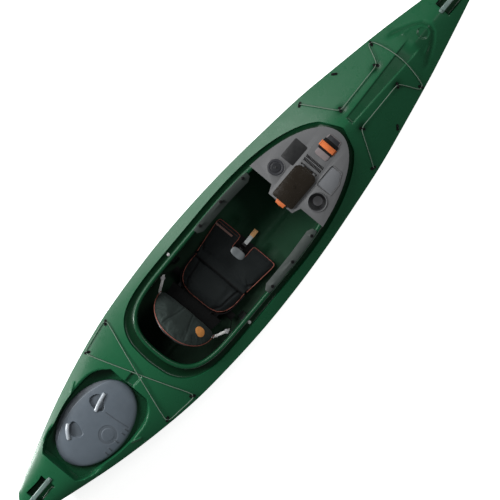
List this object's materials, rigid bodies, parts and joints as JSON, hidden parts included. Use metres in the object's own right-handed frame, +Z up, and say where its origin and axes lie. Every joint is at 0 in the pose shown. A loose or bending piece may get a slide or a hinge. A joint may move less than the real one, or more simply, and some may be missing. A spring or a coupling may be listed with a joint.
{
  "type": "recreational kayak",
  "caption": "Long sit-inside recreational kayak with a moulded hull, oval cockpit, sliding padded seat, console with cup holder and dry box, deck cords, grips and a stern hatch.",
  "frame": {"origin": "midships on the centre line, on the plane the keel rests on", "axes": "+X to the bow along the keel, +Y to port, +Z up"},
  "size_m": [3.71, 0.7378, 0.3695],
  "materials": {
    "green_shell": "glossy moulded polyethylene, dark green",
    "black_plastic": "satin moulded plastic",
    "slate_plastic": "satin blue-grey plastic",
    "grey_plastic": "satin grey plastic",
    "pale_grey_plastic": "satin pale grey plastic",
    "smoked_plastic": "dark smoked plastic",
    "orange_plastic": "satin orange plastic",
    "orange_webbing": "woven orange webbing",
    "black_fabric": "matt black fabric over foam",
    "grey_webbing": "woven grey webbing",
    "black_cord": "braided shock cord",
    "grey_foam": "closed-cell foam",
    "black_rubber": "matt rubber",
    "steel": "stainless steel",
    "anodised_rail": "dark anodised aluminium"
  },
  "bodies": {
    "hull": {"hull_shell": "green_shell", "bow_bungee": "black_cord", "stern_bungee": "black_cord", "bow_handle": "pale_grey_plastic", "stern_handle": "pale_grey_plastic", "thigh_brace_port": "black_plastic", "thigh_brace_starboard": "black_plastic", "seat_bolt_port": "steel", "seat_bolt_starboard": "steel", "seat_bracket_port": "anodised_rail", "seat_bracket_starboard": "anodised_rail", "seat_track_port": "anodised_rail", "seat_track_starboard": "anodised_rail", "foot_rail_port": "black_plastic", "foot_rail_starboard": "black_plastic", "stern_bulkhead": "grey_foam", "skid_plate": "black_plastic", "hatch_gasket": "black_rubber", "bow_anchor_1": "black_plastic", "bow_anchor_2": "black_plastic", "bow_anchor_3": "black_plastic", "bow_anchor_4": "black_plastic", "bow_anchor_5": "black_plastic", "bow_anchor_6": "black_plastic", "bow_anchor_7": "black_plastic", "bow_anchor_8": "black_plastic", "stern_anchor_1": "black_plastic", "stern_anchor_2": "black_plastic", "stern_anchor_3": "black_plastic", "stern_anchor_4": "black_plastic", "bow_handle_bolt_inner": "black_plastic", "bow_handle_bolt_outer": "black_plastic", "stern_handle_bolt_inner": "black_plastic", "stern_handle_bolt_outer": "black_plastic", "pad_eye_port": "black_plastic", "pad_eye_starboard": "black_plastic"},
    "seat": {"seat_base": "black_plastic", "seat_cushion_rear": "black_fabric", "lifter_buckle": "black_plastic", "lifter_strap": "grey_webbing", "strap_tab": "orange_webbing", "backrest_strap_port": "grey_webbing", "backrest_strap_starboard": "grey_webbing"},
    "lifter": {"seat_lifter": "black_plastic", "seat_cushion_front": "black_fabric"},
    "lever": {"slide_lever": "pale_grey_plastic"},
    "backrest": {"backrest_shell": "black_plastic", "backrest_pad": "black_fabric"},
    "console": {"console": "grey_plastic", "lid_hinge_pin": "steel", "round_insert": "black_plastic", "gear_base": "black_plastic", "gear_strap": "orange_webbing"},
    "dry_lid": {"dry_box_lid": "smoked_plastic"},
    "latch": {"lid_latch": "orange_plastic"},
    "hatch": {"hatch_lid": "slate_plastic"},
    "pedal_port": {"foot_pedal_port": "black_plastic"},
    "pedal_starboard": {"foot_pedal_starboard": "black_plastic"},
    "drain": {"drain_plug": "black_plastic"}
  },
  "joints": [
    {"name": "seat_slide", "type": "slide", "parent": "hull", "child": "seat", "axis": [1, 0, 0], "range_m": [-0.05, 0.05]},
    {"name": "lever_tilt", "type": "hinge", "parent": "seat", "child": "lever", "pos_m": [-0.03, 0, 0.062], "axis": [0, 1, 0], "range_deg": [0, 20], "stiffness_Nm_per_rad": 0.5},
    {"name": "lifter_tilt", "type": "hinge", "parent": "seat", "child": "lifter", "pos_m": [-0.2, 0, 0.0511], "axis": [0, -1, 0], "range_deg": [0, 12]},
    {"name": "backrest_recline", "type": "hinge", "parent": "seat", "child": "backrest", "pos_m": [-0.462, 0, 0.085], "axis": [0, 1, 0], "range_deg": [-6, 12], "deforming": ["backrest_strap_port", "backrest_strap_starboard"]},
    {"name": "console_lift", "type": "slide", "parent": "hull", "child": "console", "axis": [0, 0, 1], "range_m": [0, 0.25]},
    {"name": "dry_lid_hinge", "type": "hinge", "parent": "console", "child": "dry_lid", "pos_m": [0.528, 0, 0.3367], "axis": [0, 1, 0], "range_deg": [0, 100]},
    {"name": "latch_hinge", "type": "hinge", "parent": "dry_lid", "child": "latch", "pos_m": [0.30168, 0, 0.30722], "axis": [0, 1, 0], "range_deg": [0, 80]},
    {"name": "hatch_lift", "type": "slide", "parent": "hull", "child": "hatch", "axis": [0, 0, 1], "range_m": [0, 0.15]},
    {"name": "pedal_slide_port", "type": "slide", "parent": "hull", "child": "pedal_port", "axis": [0.9921, -0.1251, 0], "range_m": [-0.12, 0.12]},
    {"name": "pedal_slide_starboard", "type": "slide", "parent": "hull", "child": "pedal_starboard", "axis": [0.9921, 0.1251, 0], "range_m": [-0.12, 0.12]},
    {"name": "drain_turn", "type": "hinge", "parent": "hull", "child": "drain", "pos_m": [-1.70026, 0.08471, 0.16453], "axis": [-0.2649, 0.8398, -0.4739], "range_deg": [0, 360]}
  ]
}
